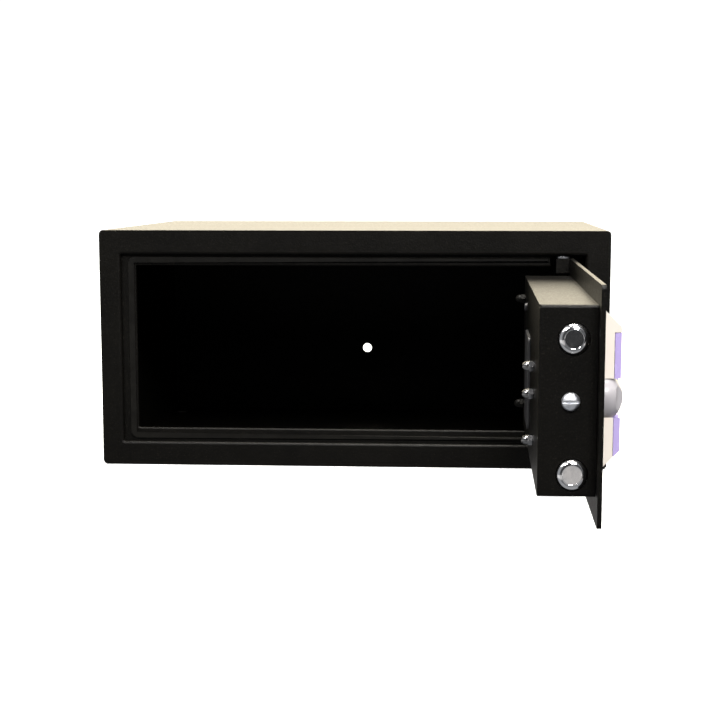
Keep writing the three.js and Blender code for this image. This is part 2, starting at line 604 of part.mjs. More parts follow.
function batteryHolder() {
  const { x0, x1, y0, z0, z1, wall } = HOLDER;
  const end = CASE.y1 - CASE_SHEET - GAP;
  return cut(block(x0, x1, y0, end, z0, z1),
    block(x0 + wall, x1 - wall, y0 + wall, end + 1, z0 + wall, z1 - wall));
}

function battery(index) {
  const { radius, length, nub, nubRadius } = BATTERY;
  const body = length - nub;
  const profile = [[0, 0], [radius - 0.4, 0], [radius, 0.4], [radius, body - 0.5], [radius - 0.5, body],
    [nubRadius, body], [nubRadius, length], [0, length]];
  const cell = turned(profile, 18);
  const z = BATTERY.z + index * BATTERY.pitch;
  // neighbouring cells lie head to tail
  if (index % 2 === 0) cell.rotateZ(-Math.PI / 2).translate(BATTERY.x, BATTERY.y, z);
  else cell.rotateZ(Math.PI / 2).translate(BATTERY.x + length, BATTERY.y, z);
  return cell;
}

function batteryDoor() {
  const y0 = CASE.y1 + GAP;
  const { x0, x1, z0, z1, thickness, corner } = BATTERY_DOOR;
  const plate = roundedPlate(x0, x1, y0, y0 + thickness, z0, z1, corner);
  const ribs = Array.from({ length: LID_RIBS.count }, (_, step) => {
    const x = x0 + LID_RIBS.first + LID_RIBS.pitch * step;
    return block(x, x + LID_RIBS.width, y0 + thickness - 0.5, y0 + thickness + LID_RIBS.height,
      z0 + LID_RIBS.margin, z1 - LID_RIBS.margin);
  });
  return join(plate, ...ribs);
}

function electronics() {
  const group = new THREE.Group();
  group.add(piece('main_board', 'circuit_board', mainBoard()));
  group.add(piece('keypad_ribbon', 'ribbon', keypadRibbon()));
  group.add(piece('battery_holder', 'dark_plastic', batteryHolder()));
  for (let index = 0; index < 4; index += 1) {
    group.add(piece(`battery_${index + 1}`, 'battery_wrap', battery(index)));
  }
  group.add(piece('battery_door', 'dark_plastic', batteryDoor()));
  group.add(piece('reset_button', 'dark_plastic', rodY(RESET.x, RESET.z, RESET.radius, RESET.y0, RESET.y1)));
  return group;
}

// ---- the safe -----------------------------------------------------------------------------

function door() {
  const group = new THREE.Group();
  group.add(doorLeaf(), boltCarriage(), turnKnob(), lockWorks(), keypadPanel(), electronics());
  group.position.set(HINGE.x, HINGE_Y, 0);
  group.rotation.z = OPEN_ANGLE;
  return group;
}

const safe = new THREE.Group();
safe.add(cabinet(), door());

export default safe;
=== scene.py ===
"""Looks of the in-room safe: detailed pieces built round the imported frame, with procedural materials.

Lengths in the building code are millimetres. Door pieces are drawn in the door's own frame: x runs
along the door from the hinge axis (the lock edge is at -x), y runs from the closed door's outside
face into the cabinet, and z is up.
"""

import json
import math

import bmesh
import bpy
from mathutils import Matrix, Vector


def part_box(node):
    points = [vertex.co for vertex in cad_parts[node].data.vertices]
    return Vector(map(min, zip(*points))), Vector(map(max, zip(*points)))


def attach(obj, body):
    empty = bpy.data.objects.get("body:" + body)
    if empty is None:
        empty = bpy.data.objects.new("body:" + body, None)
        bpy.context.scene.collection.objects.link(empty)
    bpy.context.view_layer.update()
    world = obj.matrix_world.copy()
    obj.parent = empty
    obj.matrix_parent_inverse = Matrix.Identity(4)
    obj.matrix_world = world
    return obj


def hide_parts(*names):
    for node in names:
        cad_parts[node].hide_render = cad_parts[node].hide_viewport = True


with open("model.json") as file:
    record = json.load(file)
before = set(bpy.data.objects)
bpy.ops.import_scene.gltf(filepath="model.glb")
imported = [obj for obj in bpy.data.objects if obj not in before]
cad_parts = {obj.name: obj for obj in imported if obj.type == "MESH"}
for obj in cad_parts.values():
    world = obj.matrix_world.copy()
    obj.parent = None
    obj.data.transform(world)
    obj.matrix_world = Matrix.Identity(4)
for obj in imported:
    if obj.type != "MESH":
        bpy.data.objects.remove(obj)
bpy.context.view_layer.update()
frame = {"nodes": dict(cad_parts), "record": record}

MM = 0.001
# corners closer than this are one corner
SPECK = 0.002 * MM
HINGE_X, HINGE_Y = 176, -166.5
CABINET = Matrix.Scale(MM, 4)
DOOR = (
    Matrix.Translation((HINGE_X * MM, HINGE_Y * MM, 0))
    @ Matrix.Rotation(math.pi / 2, 4, "Z")
    @ Matrix.Scale(MM, 4)
)

# ---- materials ------------------------------------------------------------------------------


class Surface:
    """A Principled material whose colour, roughness and bump come from procedural nodes."""

    def __init__(self, name, metallic=0.0, specular=0.5, **sockets):
        self.material = bpy.data.materials.new(name)
        self.material.use_nodes = True
        self.tree = self.material.node_tree
        self.shader = self.tree.nodes["Principled BSDF"]
        self.shader.inputs["Metallic"].default_value = metallic
        self.shader.inputs["Specular IOR Level"].default_value = specular
        for socket, value in sockets.items():
            self.shader.inputs[socket.replace("_", " ")].default_value = value
        self.place = self.node("ShaderNodeTexCoord").outputs["Object"]
        self.height = None

    def node(self, kind, settings=None, **inputs):
        made = self.tree.nodes.new(kind)
        for key, value in (settings or {}).items():
            setattr(made, key, value)
        for key, value in inputs.items():
            socket = made.inputs[key.replace("_", " ")]
            if isinstance(value, bpy.types.NodeSocket):
                self.tree.links.new(value, socket)
            else:
                socket.default_value = value
        return made

    def stretched(self, scale):
        """Object coordinates scaled by a different amount on each axis."""
        mapping = self.node("ShaderNodeMapping", Vector=self.place)
        mapping.inputs["Scale"].default_value = scale
        return mapping.outputs["Vector"]

    def noise(self, size, detail=3.0, stretch=None, rough=0.55):
        """Noise whose features are about size mm across."""
        place = self.stretched(stretch) if stretch else self.place
        scale = 1 / (size * MM)
        made = self.node("ShaderNodeTexNoise", Vector=place, Scale=scale, Detail=detail, Roughness=rough)
        return made.outputs["Fac"]

    def cells(self, size):
        made = self.node("ShaderNodeTexVoronoi", Vector=self.place, Scale=1 / (size * MM))
        return made.outputs["Distance"]

    def ramp(self, value, low, high, at=(0.35, 0.65)):
        """Maps a value to a colour between low and high."""
        made = self.node("ShaderNodeValToRGB", Fac=value)
        for element, colour, position in zip(made.color_ramp.elements, (low, high), at):
            element.position = position
            element.color = (*colour, 1)
        return made.outputs["Color"]

    def levels(self, value, low, high, at=(0.35, 0.65)):
        """Maps a value to a number between low and high."""
        ends = {"From_Min": at[0], "From_Max": at[1], "To_Min": low, "To_Max": high}
        made = self.node("ShaderNodeMapRange", Value=value, **ends)
        return made.outputs["Result"]

    def colour(self, socket):
        self.tree.links.new(socket, self.shader.inputs["Base Color"])
        return self

    def roughness(self, socket):
        self.tree.links.new(socket, self.shader.inputs["Roughness"])
        return self

    def bump(self, value, depth, strength=1.0):
        """Adds relief about depth mm high."""
        made = self.node("ShaderNodeBump", Height=value, Distance=depth * MM, Strength=strength)
        if self.height:
            self.tree.links.new(self.height, made.inputs["Normal"])
        self.height = made.outputs["Normal"]
        self.tree.links.new(self.height, self.shader.inputs["Normal"])
        return self


def shade(colour, factor):
    return tuple(channel * factor for channel in colour)


def powder_coat():
    """Black textured powder coat: fine pebbles, small bright specks and slight soiling."""
    s = Surface("black_coat", specular=0.10)
    pebbles = s.cells(1.5)
    grit = s.noise(0.7, 4)
    patches = s.noise(45, 3)
    base = s.ramp(patches, (0.0016, 0.0015, 0.0012), (0.0025, 0.0023, 0.0018))
    specks = s.ramp(s.noise(1.1, 2), (0, 0, 0), (0.009, 0.0078, 0.0060), at=(0.60, 0.74))
    mixed = s.node("ShaderNodeMix", {"data_type": "RGBA", "blend_type": "ADD"}, Factor=1.0)
    s.tree.links.new(base, mixed.inputs["A"])
    s.tree.links.new(specks, mixed.inputs["B"])
    s.colour(mixed.outputs["Result"])
    s.roughness(s.levels(s.noise(2.2, 3), 0.38, 0.46))
    return s.bump(pebbles, 0.16, 0.6).bump(grit, 0.10, 0.6)


def bright_plate(name="chrome", shade_factor=1.0):
    """Chrome plate with fine polishing marks; a shade_factor below 1 scales its colour down as painted
    shade.
    """
    s = Surface(name, metallic=1.0)
    s.colour(s.ramp(s.noise(6, 2), shade((0.76, 0.76, 0.78), shade_factor), shade((0.86, 0.85, 0.86), shade_factor)))
    s.roughness(s.levels(s.noise(2.5, 4), 0.07, 0.11))
    return s.bump(s.noise(0.5, 3), 0.006, 0.25)


def bright_zinc():
    """Blue-white zinc plate: brighter and rougher than chrome."""
    s = Surface("bright_zinc", metallic=1.0)
    s.colour(s.ramp(s.noise(4, 2), (0.72, 0.75, 0.80), (0.86, 0.88, 0.92)))
    s.roughness(s.levels(s.noise(2, 4), 0.34, 0.44))
    return s.bump(s.noise(0.5, 3), 0.02, 0.4)


def zinc_steel():
    """Zinc-plated sheet steel with rolling marks along it."""
    s = Surface("steel", metallic=1.0)
    s.colour(s.ramp(s.noise(9, 3), (0.34, 0.35, 0.37), (0.48, 0.49, 0.50)))
    s.roughness(s.levels(s.noise(3, 4, stretch=(1, 1, 9)), 0.26, 0.42))
    return s.bump(s.noise(0.6, 3, stretch=(1, 1, 0.12)), 0.02, 0.5)


def brass():
    s = Surface("brass", metallic=1.0)
    s.colour(s.ramp(s.noise(5, 3), (0.50, 0.34, 0.12), (0.66, 0.47, 0.19)))
    s.roughness(s.levels(s.noise(2, 4), 0.22, 0.38))
    return s.bump(s.noise(0.5, 2), 0.02, 0.4)


def plastic(name, colour, gloss, grain, depth, **sockets):
    """Moulded plastic: a fine spark-eroded grain and slight colour and gloss variation."""
    s = Surface(name, **sockets)
    s.colour(s.ramp(s.noise(12, 2), shade(colour, 0.995), shade(colour, 1.005)))
    s.roughness(s.levels(s.noise(5, 3), gloss - 0.01, gloss + 0.02))
    return s.bump(s.noise(grain, 3), depth, 0.5)


def circuit_board():
    s = Surface("circuit_board")
    tracks = s.node("ShaderNodeTexBrick", {"offset": 0.5}, Vector=s.place, Scale=160.0)
    for name, value in (("Color1", (0.012, 0.075, 0.032, 1)), ("Color2", (0.02, 0.12, 0.05, 1)),
                        ("Mortar", (0.05, 0.22, 0.09, 1)), ("Mortar Size", 0.05)):
        tracks.inputs[name].default_value = value
    s.colour(tracks.outputs["Color"])
    s.roughness(s.levels(s.noise(4, 2), 0.28, 0.4))
    return s.bump(tracks.outputs["Fac"], 0.05, 0.4)


def ribbon_cable():
    s = Surface("ribbon")
    strands = s.node("ShaderNodeTexWave", {"bands_direction": "Y"}, Vector=s.place, Scale=125.0)
    s.colour(s.ramp(strands.outputs["Fac"], (0.24, 0.245, 0.25), (0.40, 0.41, 0.42)))
    s.roughness(s.levels(s.noise(4, 2), 0.5, 0.65))
    return s.bump(strands.outputs["Fac"], 0.25, 0.7)


def smoked_window():
    s = Surface("display_glass", specular=0.6)
    s.colour(s.ramp(s.noise(20, 2), (0.008, 0.014, 0.012), (0.013, 0.021, 0.018)))
    s.roughness(s.levels(s.noise(6, 3), 0.05, 0.10))
    return s.bump(s.noise(8, 1), 0.02, 0.2)


def buffer_rubber():
    s = Surface("rubber", specular=0.12)
    s.colour(s.ramp(s.noise(14, 3), (0.0025, 0.0023, 0.0019), (0.0045, 0.0042, 0.0034)))
    s.roughness(s.levels(s.noise(6, 3), 0.42, 0.55))
    return s.bump(s.noise(0.8, 3), 0.06, 0.6)


MATERIALS = {
    "black_coat": powder_coat(),
    "chrome": bright_plate(),
    "steel": zinc_steel(),
    "brass": brass(),
    "cream_plastic": plastic("cream_plastic", (0.80, 0.73, 0.65), 0.42, 0.5, 0.03),
    "lavender_plastic": plastic("lavender_plastic", (0.47, 0.385, 0.72), 0.26, 0.6, 0.008, specular=0.55),
    "grey_plastic": plastic("grey_plastic", (0.36, 0.345, 0.36), 0.33, 0.5, 0.02),
    "dark_plastic": plastic("dark_plastic", (0.018, 0.018, 0.020), 0.45, 0.6, 0.04),
    "battery_wrap": plastic("battery_wrap", (0.05, 0.09, 0.21), 0.3, 0.8, 0.01),
    "display_glass": smoked_window(),
    "circuit_board": circuit_board(),
    "ribbon": ribbon_cable(),
    "rubber": buffer_rubber(),
}
BRIGHT_ZINC = bright_zinc()
# painted shade: chrome with its colour scaled to 0.3, used on the lock-side acorn nuts so that their chrome
# bodies look as dark as the dim room they reflect
SHADE_DARKENED_CHROME = bright_plate("chrome_painted_dark", 0.3)
COPPER_WRAP = plastic("battery_end", (0.55, 0.30, 0.12), 0.28, 0.8, 0.01, metallic=0.6)
INK = plastic("key_marking", (0.03, 0.03, 0.045), 0.4, 0.5, 0.01)

# ---- solids ---------------------------------------------------------------------------------


def as_object(shape):
    """Puts a bmesh into a new object in the scene."""
    mesh = bpy.data.meshes.new("solid")
    bmesh.ops.recalc_face_normals(shape, faces=shape.faces)
    shape.to_mesh(mesh)
    shape.free()
    made = bpy.data.objects.new("solid", mesh)
    bpy.context.scene.collection.objects.link(made)
    return made


def block(x, y, z, rounding=0.0, segments=3):
    """A box given by (low, high) on each axis, with all its edges rounded."""
    shape = bmesh.new()
    bmesh.ops.create_cube(shape, size=1)
    for vertex in shape.verts:
        vertex.co = [low + (high - low) * (c + 0.5) for c, (low, high) in zip(vertex.co, (x, y, z))]
    if rounding:
        edges = shape.edges[:]
        bmesh.ops.bevel(shape, geom=edges, offset=rounding, segments=segments, profile=0.5, affect="EDGES")
    return as_object(shape)


def arc(cx, cy, radius, start, end, steps):
    turns = [math.radians(start + (end - start) * step / steps) for step in range(steps + 1)]
    return [(cx + radius * math.cos(t), cy + radius * math.sin(t)) for t in turns]


def rounded_rectangle(x, y, radius, steps=6):
    (x0, x1), (y0, y1) = x, y
    return (
        arc(x1 - radius, y0 + radius, radius, -90, 0, steps)
        + arc(x1 - radius, y1 - radius, radius, 0, 90, steps)
        + arc(x0 + radius, y1 - radius, radius, 90, 180, steps)
        + arc(x0 + radius, y0 + radius, radius, 180, 270, steps)
    )


# how an outline's two axes and its depth axis land in the solid's frame
OUTLINE_AXES = {
    "x": lambda a, b, depth: (depth, a, b),
    "y": lambda a, b, depth: (a, depth, b),
    "z": lambda a, b, depth: (a, b, depth),
}


def prism(outline, depth, axis, ease_low=0.0, ease_high=0.0, segments=3):
    """An outline pushed along an axis, with its two end edges eased."""
    place = OUTLINE_AXES[axis]
    shape = bmesh.new()
    rings = [[shape.verts.new(place(a, b, d)) for a, b in outline] for d in depth]
    low, high = (shape.faces.new(ring) for ring in rings)
    count = len(outline)
    for i in range(count):
        j = (i + 1) % count
        shape.faces.new((rings[0][i], rings[0][j], rings[1][j], rings[1][i]))
    for face, ease in ((low, ease_low), (high, ease_high)):
        if ease:
            edges = list(face.edges)
            bmesh.ops.bevel(shape, geom=edges, offset=ease, segments=segments, profile=0.5, affect="EDGES")
    return as_object(shape)


def loft(rings):
    """A solid through a row of rings with equal numbers of points."""
    shape = bmesh.new()
    rows = [[shape.verts.new(point) for point in ring] for ring in rings]
    shape.faces.new(rows[0])
    shape.faces.new(rows[-1])
    count = len(rows[0])
    for low, high in zip(rows, rows[1:]):
        for i in range(count):
            j = (i + 1) % count
            shape.faces.new((low[i], low[j], high[j], high[i]))
    return as_object(shape)


def rod(axis, a, b, radius, depth, ease=0.0, sides=48):
    """A round bar through (a, b) on the two other axes."""
    turns = [2 * math.pi * i / sides for i in range(sides)]
    outline = [(a + radius * math.cos(t), b + radius * math.sin(t)) for t in turns]
    return prism(outline, depth, axis, ease, ease, 2)


def turned(profile, at, direction, sides=64):
    """A lathe-turned solid from (radius, height) pairs; it starts at a point and grows along direction."""
    shape = bmesh.new()
    rings = []
    for radius, height in profile:
        if radius == 0:
            rings.append([shape.verts.new((0, 0, height))])
            continue
        turn = 2 * math.pi / sides
        rings.append([shape.verts.new((radius * math.cos(i * turn), radius * math.sin(i * turn), height))
                      for i in range(sides)])
    for first, second in zip(rings, rings[1:]):
        for i in range(sides):
            j = (i + 1) % sides
            corners = [first[i % len(first)], first[j % len(first)]]
            corners += [second[j % len(second)], second[i % len(second)]]
            unique = [v for k, v in enumerate(corners) if v not in corners[:k]]
            shape.faces.new(unique)
    made = as_object(shape)
    aim = Vector(direction).to_track_quat("Z", "Y").to_matrix().to_4x4()
    made.data.transform(Matrix.Translation(at) @ aim)
    return made


def applied(solid):
    """Bakes a solid's modifiers into its mesh."""
    bpy.context.view_layer.update()
    depsgraph = bpy.context.evaluated_depsgraph_get()
    mesh = bpy.data.meshes.new_from_object(solid.evaluated_get(depsgraph))
    solid.modifiers.clear()
    solid.data = mesh
    return solid


def combine(solid, operation, tools):
    for tool in tools:
        step = solid.modifiers.new("combine", "BOOLEAN")
        step.operation, step.solver, step.object = operation, "MANIFOLD", tool
        applied(solid)
        bpy.data.objects.remove(tool)
    return solid


def cut(solid, *tools):
    return combine(solid, "DIFFERENCE", tools)


def join(solid, *tools):
    return combine(solid, "UNION", tools)


def common(solid, tool):
    return combine(solid, "INTERSECT", [tool])


def ease(solid, width, segments=2, angle=40):
    """Rounds every edge sharper than angle."""
    shape = bmesh.new()
    shape.from_mesh(solid.data)
    bmesh.ops.remove_doubles(shape, verts=shape.verts, dist=1e-4)
    bmesh.ops.dissolve_limit(shape, angle_limit=math.radians(0.3), verts=shape.verts, edges=shape.edges)
    shape.to_mesh(solid.data)
    shape.free()
    step = solid.modifiers.new("ease", "BEVEL")
    step.width, step.segments, step.limit_method = width, segments, "ANGLE"
    step.angle_limit = math.radians(angle)
    step.use_clamp_overlap = True
    return applied(solid)


def piece(name, solid, body, slot, nodes=(), place=DOOR, material=None, flat_angle=32):
    """Turns a solid into a shown piece: placed, shaded, coated, and riding on its body."""
    solid.name = name
    solid.data.name = name
    solid.data.transform(place)
    surface = material or MATERIALS[slot]
    solid.data.materials.clear()
    solid.data.materials.append(surface.material)
    smooth(solid, flat_angle)
    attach(solid, body)
    if nodes:
        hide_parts(*nodes)
    return solid


def smooth(solid, angle):
    """Smooth shading that follows the large faces and breaks at edges sharper than angle."""
    shape = bmesh.new()
    shape.from_mesh(solid.data)
    bmesh.ops.remove_doubles(shape, verts=shape.verts, dist=SPECK)
    bmesh.ops.dissolve_degenerate(shape, edges=shape.edges, dist=SPECK)
    limit = math.radians(angle)
    for edge in shape.edges:
        edge.smooth = edge.calc_face_angle(math.pi) < limit
    for face in shape.faces:
        face.smooth = True
    shape.to_mesh(solid.data)
    shape.free()
    weight = solid.modifiers.new("shading", "WEIGHTED_NORMAL")
    weight.keep_sharp = True
    weight.weight = 100
    applied(solid)


def door_box(node):
    """A door node's (low, high) on each axis of the door's own frame, in mm."""
    low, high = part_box(node)
    x = (low.y / MM - HINGE_Y, high.y / MM - HINGE_Y)
    y = (HINGE_X - high.x / MM, HINGE_X - low.x / MM)
    return x, y, (low.z / MM, high.z / MM)


def world_box(node):
    low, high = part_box(node)
    return tuple((a / MM, b / MM) for a, b in zip(low, high))


def middle(span):
    return (span[0] + span[1]) / 2


def inner(span, margin):
    return span[0] + margin, span[1] - margin


# ---- cabinet --------------------------------------------------------------------------------

SHEET = 2.0
CORNER = 3.0
shell_x, shell_y, shell_z = world_box("cabinet_shell")
frame_x, frame_y, frame_z = world_box("front_frame")
back_x, back_y, back_z = world_box("back_panel")
ANCHORS = [(x, y) for x in (-203, 203) for y in (-130, 145)]
ANCHOR_RADIUS = 5
WALL_HOLE, WALL_HOLE_RADIUS = (-10, 68), 4.6


def cabinet_wrap():
    """The folded sheet that makes the top, floor and sides, with bent corners."""
    outer = prism(rounded_rectangle(shell_x, shell_z, CORNER), shell_y, "y")
    room = prism(rounded_rectangle(inner(shell_x, SHEET), inner(shell_z, SHEET), CORNER - SHEET + 0.2),
                 (shell_y[0] - 1, shell_y[1] + 1), "y")
    holes = [rod("z", x, y, ANCHOR_RADIUS, (-1, SHEET + 1)) for x, y in ANCHORS]
    return ease(cut(outer, room, *holes), 0.3)


def rear_panel():
    plate = prism(rounded_rectangle(back_x, back_z, CORNER), back_y, "y", 0.0, 0.8)
    hole = rod("y", *WALL_HOLE, WALL_HOLE_RADIUS, (back_y[0] - 1, back_y[1] + 1))
    return ease(cut(plate, hole), 0.3)


def flared(x, z, corner, y, flare, steps=5):
    """A cutter of rectangular section that widens along a quarter round at its front end."""
    levels = [(y[0] - 2, flare)]
    for step in range(steps + 1):
        turn = math.radians(90 * (1 - step / steps))
        levels.append((y[0] + flare * (1 - math.sin(turn)), flare * (1 - math.cos(turn))))
    levels.append((y[1], 0))
    rings = []
    for depth, grow in levels:
        outline = rounded_rectangle(inner(x, -grow), inner(z, -grow), corner + grow)
        rings.append([(a, depth, b) for a, b in outline])
    return loft(rings)


RECESS_X, RECESS_Z = (-197, 194.5), (20, 179.5)
MOUTH_X, MOUTH_Z = (-184.5, 170), (31.5, 170)
POCKET_START, PIN_HOLE = 165, 3.1


def door_frame():
    """The front border with its turned-in recess, the stop lip and the hinge-side pocket."""
    front = frame_y[0]
    lip_front, lip_rear, pocket_rear = front + 5, front + 7, frame_y[1]
    band = prism(rounded_rectangle(frame_x, frame_z, CORNER), (front, front + SHEET), "y", 1.4, 0.2, 5)
    rim = block(inner(RECESS_X, -SHEET), (front + 0.9, lip_rear), inner(RECESS_Z, -SHEET))
    pocket = block((POCKET_START, RECESS_X[1] + SHEET), (front + 0.9, pocket_rear), inner(RECESS_Z, -SHEET))
    solid = join(band, rim, pocket)
    pocket_z = inner(RECESS_Z, 0.4)
    solid = cut(
        solid,
        flared(RECESS_X, RECESS_Z, 1.2, (front, lip_front), 2.6),
        flared(MOUTH_X, MOUTH_Z, 1.0, (lip_front, pocket_rear + 1), 1.7),
        block((POCKET_START, RECESS_X[1] - 0.4), (lip_front - 1, pocket_rear - SHEET), pocket_z),
        block((POCKET_START - 1, MOUTH_X[1]), (lip_rear, pocket_rear + 1), pocket_z),
        rod("z", HINGE_X, HINGE_Y, PIN_HOLE, (1, 199)),
    )
    return ease(solid, 0.35, 2)


def seal_strip():
    """The rubber buffer on the lip's three free sides, with a domed face."""
    x, y, z = world_box("door_seal")
    width = 3.6
    outer = [(x[1], z[0]), *reversed(arc(x[0] + 4, z[0] + 4, 4, 180, 270, 6)),
             *reversed(arc(x[0] + 4, z[1] - 4, 4, 90, 180, 6)), (x[1], z[1])]
    corner_x, corner_z = x[0] + width, inner(z, width)
    hollow = [(x[1], corner_z[1]), *arc(corner_x + 1, corner_z[1] - 1, 1, 90, 180, 3),
              *arc(corner_x + 1, corner_z[0] + 1, 1, 180, 270, 3), (x[1], corner_z[0])]
    return prism(outer + hollow, y, "y", 1.2, 0, 4)


piece("cabinet_wrap", cabinet_wrap(), "cabinet", "black_coat", ["cabinet_shell"], CABINET)
piece("rear_panel", rear_panel(), "cabinet", "black_coat", ["back_panel"], CABINET)
piece("door_frame", door_frame(), "cabinet", "black_coat", ["front_frame"], CABINET)
piece("seal_strip", seal_strip(), "cabinet", "rubber", ["door_seal"], CABINET)

# ---- door leaf ------------------------------------------------------------------------------

plate_x, plate_y, plate_z = door_box("door_plate")
plate_y = (plate_y[0], plate_y[0] + 3)
case_x, case_y, case_z = door_box("lock_case")
STUDS = {f"cap_nut_{i}": tuple(middle(door_box(f"cap_nut_{i}")[a]) for a in (0, 2)) for i in range(1, 6)}
KNOB = tuple(middle(door_box("turn_knob")[a]) for a in (0, 2))
LOCK = tuple(middle(door_box("lock_barrel")[a]) for a in (0, 2))
BOLTS = {name: tuple(middle(door_box(name)[a]) for a in (1, 2)) for name in ("upper_bolt", "lower_bolt")}
SCREW = tuple(middle(door_box("guide_screw")[a]) for a in (1, 2))
RESET = tuple(middle(door_box("reset_button")[a]) for a in (0, 2))
STUD_END = door_box("door_plate")[1][1]
STUD_RADIUS, STUD_HOLE, NUT_RADIUS = 2, 2.3, 4.1
KNOB_SHAFT_HOLE, LOCK_HOLE = 4, 10
RIBBON_SLOT_X, RIBBON_SLOT_Z = (-237, -213), (86, 91)
CASE_SHEET = 1.5
BOLT_HOLE, SCREW_HOLE, RESET_HOLE, PIN_BORE = 10.4, 3.1, 3.5, 2.8


def front_plate():
    """The door's outer sheet with its five welded studs."""
    plate = prism(rounded_rectangle(plate_x, plate_z, 3), plate_y, "y")
    through = (plate_y[0] - 1, plate_y[1] + 1)
    ribbon_slot = prism(rounded_rectangle(RIBBON_SLOT_X, RIBBON_SLOT_Z, 1), through, "y")
    plate = cut(plate, rod("y", *KNOB, KNOB_SHAFT_HOLE, through), rod("y", *LOCK, LOCK_HOLE, through),
                ribbon_slot)
    plate = ease(plate, 0.6, 3)
    reach = (plate_y[1] - 1, STUD_END)
    return join(plate, *[rod("y", x, z, STUD_RADIUS, reach, 0.4) for x, z in STUDS.values()])


def case_tray():
    """The folded tray over the works, open towards the plate."""
    outer = prism(rounded_rectangle(case_x, case_z, 2.2), case_y, "y", 0, 2.0, 5)
    room = prism(rounded_rectangle(inner(case_x, CASE_SHEET), inner(case_z, CASE_SHEET), 0.8),
                 (case_y[0] - 1, case_y[1] - CASE_SHEET), "y", 0, 0.6)
    lock_side = (case_x[0] - 1, case_x[0] + CASE_SHEET + 1)
    rear = (case_y[1] - CASE_SHEET - 1, case_y[1] + 1)
    holder_x, _, holder_z = door_box("battery_holder")
    holes = [rod("x", *at, BOLT_HOLE, lock_side, sides=64) for at in BOLTS.values()]
    holes.append(rod("x", *SCREW, SCREW_HOLE, lock_side))
    holes += [rod("y", x, z, STUD_HOLE, rear) for x, z in STUDS.values()]
    holes.append(rod("y", *RESET, RESET_HOLE, rear))
    opening = rounded_rectangle(inner(holder_x, 3), inner(holder_z, 2), 3)
    return ease(cut(outer, room, *holes, prism(opening, rear, "y")), 0.25)


def cap_nut(x, z, y0):
    """An acorn nut: a chamfered hexagon under a dome."""
    corners = [math.radians(60 * i) for i in range(6)]
    outline = [(x + NUT_RADIUS * math.cos(a), z + NUT_RADIUS * math.sin(a)) for a in corners]
    hexagon = prism(outline, (y0, y0 + 9), "y")
    profile = [(0, 0), (3.6, 0), (NUT_RADIUS, 0.3), (NUT_RADIUS, 3.0), (3.5, 3.4), (3.3, 3.6), (3.25, 4.8),
               (2.9, 5.9), (2.3, 6.9), (1.5, 7.6), (0.7, 7.9), (0, 7.95)]
    return ease(common(hexagon, turned(profile, (x, y0, z), (0, 1, 0), 48)), 0.12)


def hinge_lug(node):
    x, y, z = door_box(node)
    return ease(cut(block(x, y, z), rod("z", 0, 0, PIN_BORE, (z[0] - 1, z[1] + 1))), 0.9, 3)


def hinge_pin(node):
    _, _, z = door_box(node)
    length = z[1] - z[0]
    profile = [(0, 0), (1.7, 0), (2.3, 0.3), (2.5, 0.9)]
    profile += [(radius, length - height) for radius, height in reversed(profile)]
    return turned(profile, (0, 0, z[0]), (0, 0, 1), 40)


def washer(node):
    _, _, z = door_box(node)
    return ease(cut(rod("z", 0, 0, 6, z), rod("z", 0, 0, PIN_BORE, (z[0] - 1, z[1] + 1))), 0.25)


piece("front_plate", front_plate(), "door", "black_coat", ["door_plate"])
piece("case_tray", case_tray(), "door", "black_coat", ["lock_case"])
for number, (x, z) in enumerate(STUDS.values(), 1):
    start = door_box(f"cap_nut_{number}")[1][0]
    # the lock-side nuts are chrome drawn with the darkened chrome copy (painted shade); the hinge-side nuts
    # are black coat
    slot, nut_surface = ("chrome", SHADE_DARKENED_CHROME) if x < -100 else ("black_coat", None)
    piece(f"acorn_nut_{number}", cap_nut(x, z, start), "door", slot, [f"cap_nut_{number}"], material=nut_surface)
for side in ("upper", "lower"):
    piece(f"{side}_lug", hinge_lug(f"hinge_lug_{side}"), "door", "black_coat", [f"hinge_lug_{side}"])
    piece(f"{side}_pin", hinge_pin(f"hinge_pin_{side}"), "door", "steel", [f"hinge_pin_{side}"])
    piece(f"{side}_washer", washer(f"hinge_washer_{side}"), "door", "steel", [f"hinge_washer_{side}"])

# ---- bolts and the screw between them -------------------------------------------------------


def round_bolt(name):
    """A turned bolt: a flat nose with a thin ridge round it, then a broad rounded shoulder."""
    (x0, x1), _, _ = door_box(name)
    length = x1 - x0
    shoulder = [(6.5 + 3.5 * math.sin(turn), 0.15 + 3.5 * (1 - math.cos(turn)))
                for turn in (math.radians(9 * step) for step in range(1, 11))]
    profile = [(0, 0.12), (6.0, 0.12), (6.25, 0), (6.5, 0), *shoulder]
    profile += [(10, length - 0.6), (9.5, length), (0, length)]
    y, z = BOLTS[name]
    return turned(profile, (x0, y, z), (1, 0, 0), 80)


def slotted_screw():
    """The pan-head screw, with a straight slot across its head."""
    (x0, x1), _, _ = door_box("guide_screw")
    y, z = SCREW
    profile = [(0, 0), (1.6, 0.1), (3.1, 0.4), (4.4, 0.95), (5.3, 1.7), (5.8, 2.6), (6.0, 3.5), (6.0, 4),
               (2.8, 4), (2.8, 15.2), (2.2, 16), (0, 16)]
    head = turned(profile, (x0, y, z), (1, 0, 0), 56)
    slot = block((x0 - 1, x0 + 1.9), (y - 7, y + 7), (z - 0.8, z + 0.8))
    return ease(cut(head, slot), 0.15)


for name in BOLTS:
    piece(f"{name}_round", round_bolt(name), "bolt_carriage", "chrome", [name], flat_angle=18)
piece("slotted_screw", slotted_screw(), "door", "chrome", ["guide_screw"], material=BRIGHT_ZINC)

# ---- keypad panel ---------------------------------------------------------------------------

